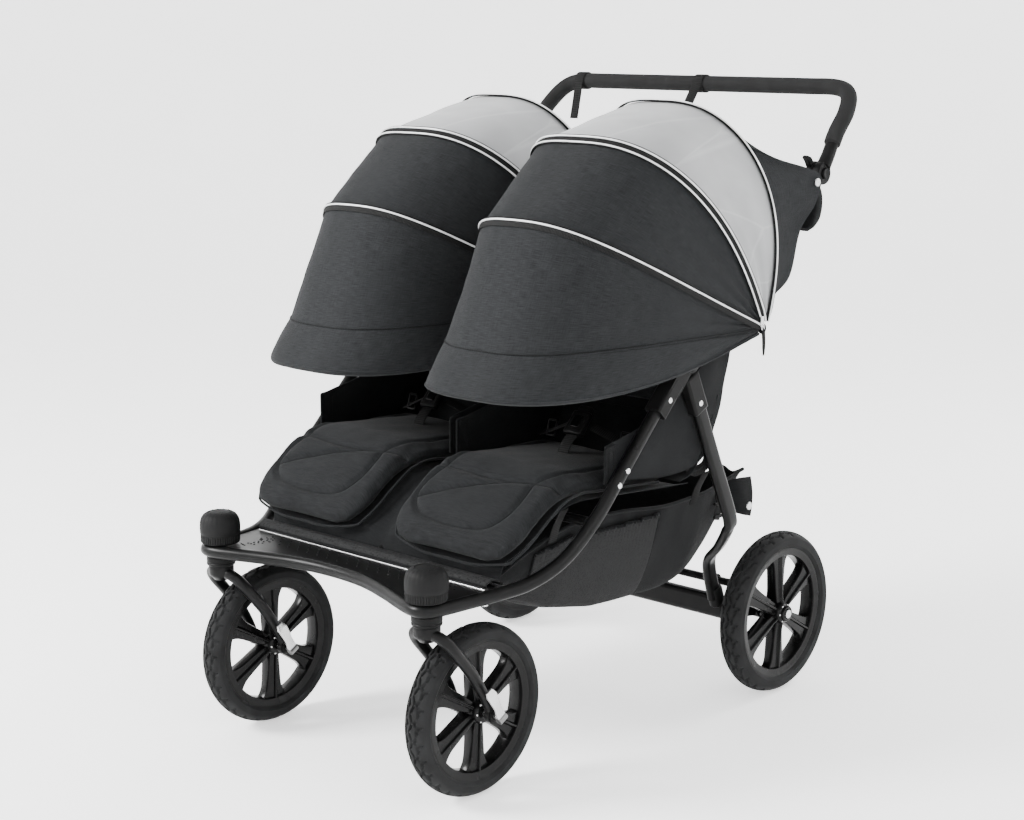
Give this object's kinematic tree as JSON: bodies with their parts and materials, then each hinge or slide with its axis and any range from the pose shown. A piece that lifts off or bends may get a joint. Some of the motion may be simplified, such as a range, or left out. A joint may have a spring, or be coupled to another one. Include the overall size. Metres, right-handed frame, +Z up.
{
  "type": "double jogging stroller",
  "caption": "Side-by-side double jogging stroller with air-filled wheels, swivelling front forks, folding frame, tilting handle, reclining backs and folding hoods over a shopping basket.",
  "frame": {"origin": "on the floor, at the centre of the bounding box", "axes": "+Z up, front towards -Y, the handle towards +Y, the children's left at +X"},
  "size_m": [0.7624, 1.0634, 1.1165],
  "materials": {
    "black_frame": "satin black powder coat",
    "black_plastic": "fine moulded texture",
    "gloss_plastic": "moulded gloss",
    "knob_rubber": "ribbed matte",
    "tyre": "matte rubber, dashed zig-zag tread",
    "grip_foam": "closed-cell foam",
    "bright_steel": "bright",
    "pad_fabric": "quilted melange",
    "canopy_fabric": "melange weave",
    "window_mesh": "silver-grey creased mesh",
    "basket_fabric": "nylon"
  },
  "bodies": {
    "chassis": {"front_frame_tube": "black_frame", "footplate": "gloss_plastic", "footrest_mesh": "basket_fabric", "seat_rail_frame": "black_frame", "frame_hinge_left": "black_plastic", "frame_hinge_right": "black_plastic", "caster_housing_left": "black_plastic", "caster_housing_right": "black_plastic", "seat_pad_left": "pad_fabric", "seat_pad_right": "pad_fabric", "basket": "basket_fabric"},
    "upper_frame": {"upper_tube_left": "black_frame", "upper_tube_right": "black_frame", "handle_joint_left": "black_plastic", "handle_joint_right": "black_plastic"},
    "rear_legs": {"rear_leg_left": "black_frame", "rear_leg_right": "black_frame", "rear_crossbar": "black_frame"},
    "handle": {"handlebar": "black_frame", "handle_grip_left": "grip_foam", "handle_grip_right": "grip_foam"},
    "brake": {"brake_pedal": "black_frame"},
    "caster_left": {"caster_fork_left": "black_frame", "front_axle_left": "bright_steel"},
    "front_wheel_left": {"front_tyre_left": "tyre", "front_rim_left": "gloss_plastic"},
    "lock_knob_left": {"swivel_lock_knob_left": "knob_rubber"},
    "release_lever_left": {"quick_release_lever_left": "bright_steel"},
    "suspension_left": {"suspension_arm_left": "black_plastic"},
    "rear_wheel_left": {"rear_tyre_left": "tyre", "rear_rim_left": "gloss_plastic"},
    "hub_button_left": {"wheel_release_button_left": "bright_steel"},
    "backrest_left": {"backrest_frame_left": "black_frame", "backrest_pad_left": "pad_fabric", "hood_window_left": "window_mesh"},
    "hood_mid_left": {"hood_mid_bow_left": "black_plastic", "hood_centre_panel_left": "canopy_fabric"},
    "hood_front_left": {"hood_front_bow_left": "black_plastic", "hood_visor_left": "canopy_fabric"},
    "handle_button_left": {"handle_button_left": "black_plastic"},
    "fold_trigger_left": {"fold_trigger_left": "black_plastic"},
    "caster_right": {"caster_fork_right": "black_frame", "front_axle_right": "bright_steel"},
    "front_wheel_right": {"front_tyre_right": "tyre", "front_rim_right": "gloss_plastic"},
    "lock_knob_right": {"swivel_lock_knob_right": "knob_rubber"},
    "release_lever_right": {"quick_release_lever_right": "bright_steel"},
    "suspension_right": {"suspension_arm_right": "black_plastic"},
    "rear_wheel_right": {"rear_tyre_right": "tyre", "rear_rim_right": "gloss_plastic"},
    "hub_button_right": {"wheel_release_button_right": "bright_steel"},
    "backrest_right": {"backrest_frame_right": "black_frame", "backrest_pad_right": "pad_fabric", "hood_window_right": "window_mesh"},
    "hood_mid_right": {"hood_mid_bow_right": "black_plastic", "hood_centre_panel_right": "canopy_fabric"},
    "hood_front_right": {"hood_front_bow_right": "black_plastic", "hood_visor_right": "canopy_fabric"},
    "handle_button_right": {"handle_button_right": "black_plastic"},
    "fold_trigger_right": {"fold_trigger_right": "black_plastic"}
  },
  "joints": [
    {"name": "main_fold", "type": "hinge", "parent": "chassis", "child": "upper_frame", "pos_m": [0, 0.012, 0.668], "axis": [1, 0, 0], "range_deg": [-78, 0], "deforming": ["basket"]},
    {"name": "leg_fold", "type": "hinge", "parent": "chassis", "child": "rear_legs", "pos_m": [0, 0.012, 0.668], "axis": [1, 0, 0], "range_deg": [-36, 0]},
    {"name": "handle_tilt", "type": "hinge", "parent": "upper_frame", "child": "handle", "pos_m": [0, 0.392, 0.955], "axis": [1, 0, 0], "range_deg": [-45, 50]},
    {"name": "brake_press", "type": "hinge", "parent": "rear_legs", "child": "brake", "pos_m": [0, 0.287, 0.203], "axis": [1, 0, 0], "range_deg": [-18, 0]},
    {"name": "caster_swivel_left", "type": "hinge", "parent": "chassis", "child": "caster_left", "pos_m": [0.249, -0.4933, 0.306], "axis": [0, 0, 1], "continuous": true},
    {"name": "front_wheel_spin_left", "type": "hinge", "parent": "caster_left", "child": "front_wheel_left", "pos_m": [0.249, -0.39, 0.1416], "axis": [1, 0, 0], "continuous": true},
    {"name": "swivel_lock_left", "type": "hinge", "parent": "chassis", "child": "lock_knob_left", "pos_m": [0.249, -0.4933, 0.36], "axis": [0, 0, 1], "range_deg": [0, 90]},
    {"name": "quick_release_left", "type": "hinge", "parent": "caster_left", "child": "release_lever_left", "pos_m": [0.3111, -0.39, 0.1416], "axis": [0, -0.8746, -0.4848], "range_deg": [-90, 0]},
    {"name": "suspension_left", "type": "hinge", "parent": "rear_legs", "child": "suspension_left", "pos_m": [0, 0.257, 0.165], "axis": [1, 0, 0], "range_deg": [0, 8], "stiffness_Nm_per_rad": 120, "springref_deg": -6.88},
    {"name": "rear_wheel_spin_left", "type": "hinge", "parent": "suspension_left", "child": "rear_wheel_left", "pos_m": [0.3211, 0.342, 0.15], "axis": [1, 0, 0], "continuous": true},
    {"name": "hub_release_left", "type": "slide", "parent": "rear_wheel_left", "child": "hub_button_left", "axis": [1, 0, 0], "range_m": [-0.0025, 0], "stiffness_N_per_m": 400, "springref_m": 0.001},
    {"name": "recline_left", "type": "hinge", "parent": "upper_frame", "child": "backrest_left", "pos_m": [0, 0.078, 0.54], "axis": [1, 0, 0], "range_deg": [-14, 0]},
    {"name": "hood_fold_left", "type": "hinge", "parent": "backrest_left", "child": "hood_mid_left", "pos_m": [0, 0.205, 0.7], "axis": [1, 0, 0], "range_deg": [-25, 0], "deforming": ["hood_window_left", "hood_centre_panel_left", "hood_visor_left"]},
    {"name": "hood_front_fold_left", "type": "hinge", "parent": "hood_mid_left", "child": "hood_front_left", "pos_m": [0, 0.205, 0.7], "axis": [1, 0, 0], "range_deg": [-21, 0]},
    {"name": "handle_button_press_left", "type": "slide", "parent": "handle", "child": "handle_button_left", "axis": [1, 0, 0], "range_m": [-0.003, 0], "stiffness_N_per_m": 400, "springref_m": 0.001},
    {"name": "fold_trigger_pull_left", "type": "hinge", "parent": "upper_frame", "child": "fold_trigger_left", "pos_m": [0.3446, 0.37547, 0.97212], "axis": [1, 0, 0], "range_deg": [-22, 0], "stiffness_Nm_per_rad": 0.6, "springref_deg": 20.05},
    {"name": "caster_swivel_right", "type": "hinge", "parent": "chassis", "child": "caster_right", "pos_m": [-0.249, -0.4933, 0.306], "axis": [0, 0, 1], "continuous": true},
    {"name": "front_wheel_spin_right", "type": "hinge", "parent": "caster_right", "child": "front_wheel_right", "pos_m": [-0.249, -0.39, 0.1416], "axis": [1, 0, 0], "continuous": true},
    {"name": "swivel_lock_right", "type": "hinge", "parent": "chassis", "child": "lock_knob_right", "pos_m": [-0.249, -0.4933, 0.36], "axis": [0, 0, 1], "range_deg": [0, 90]},
    {"name": "quick_release_right", "type": "hinge", "parent": "caster_right", "child": "release_lever_right", "pos_m": [-0.1869, -0.39, 0.1416], "axis": [0, -0.8746, -0.4848], "range_deg": [-90, 0]},
    {"name": "suspension_right", "type": "hinge", "parent": "rear_legs", "child": "suspension_right", "pos_m": [0, 0.257, 0.165], "axis": [1, 0, 0], "range_deg": [0, 8], "stiffness_Nm_per_rad": 120, "springref_deg": -6.88},
    {"name": "rear_wheel_spin_right", "type": "hinge", "parent": "suspension_right", "child": "rear_wheel_right", "pos_m": [-0.3211, 0.342, 0.15], "axis": [1, 0, 0], "continuous": true},
    {"name": "hub_release_right", "type": "slide", "parent": "rear_wheel_right", "child": "hub_button_right", "axis": [-1, 0, 0], "range_m": [-0.0025, 0], "stiffness_N_per_m": 400, "springref_m": 0.001},
    {"name": "recline_right", "type": "hinge", "parent": "upper_frame", "child": "backrest_right", "pos_m": [0, 0.078, 0.54], "axis": [1, 0, 0], "range_deg": [-14, 0]},
    {"name": "hood_fold_right", "type": "hinge", "parent": "backrest_right", "child": "hood_mid_right", "pos_m": [0, 0.205, 0.7], "axis": [1, 0, 0], "range_deg": [-25, 0], "deforming": ["hood_window_right", "hood_centre_panel_right", "hood_visor_right"]},
    {"name": "hood_front_fold_right", "type": "hinge", "parent": "hood_mid_right", "child": "hood_front_right", "pos_m": [0, 0.205, 0.7], "axis": [1, 0, 0], "range_deg": [-21, 0]},
    {"name": "handle_button_press_right", "type": "slide", "parent": "handle", "child": "handle_button_right", "axis": [-1, 0, 0], "range_m": [-0.003, 0], "stiffness_N_per_m": 400, "springref_m": 0.001},
    {"name": "fold_trigger_pull_right", "type": "hinge", "parent": "upper_frame", "child": "fold_trigger_right", "pos_m": [-0.3446, 0.37547, 0.97212], "axis": [1, 0, 0], "range_deg": [-22, 0], "stiffness_Nm_per_rad": 0.6, "springref_deg": 20.05}
  ],
  "couplings": [
    {"joint": "leg_fold", "follows": "main_fold", "ratio": 0.46},
    {"joint": "hood_front_fold_left", "follows": "hood_fold_left", "ratio": 0.83},
    {"joint": "hood_front_fold_right", "follows": "hood_fold_right", "ratio": 0.83}
  ]
}
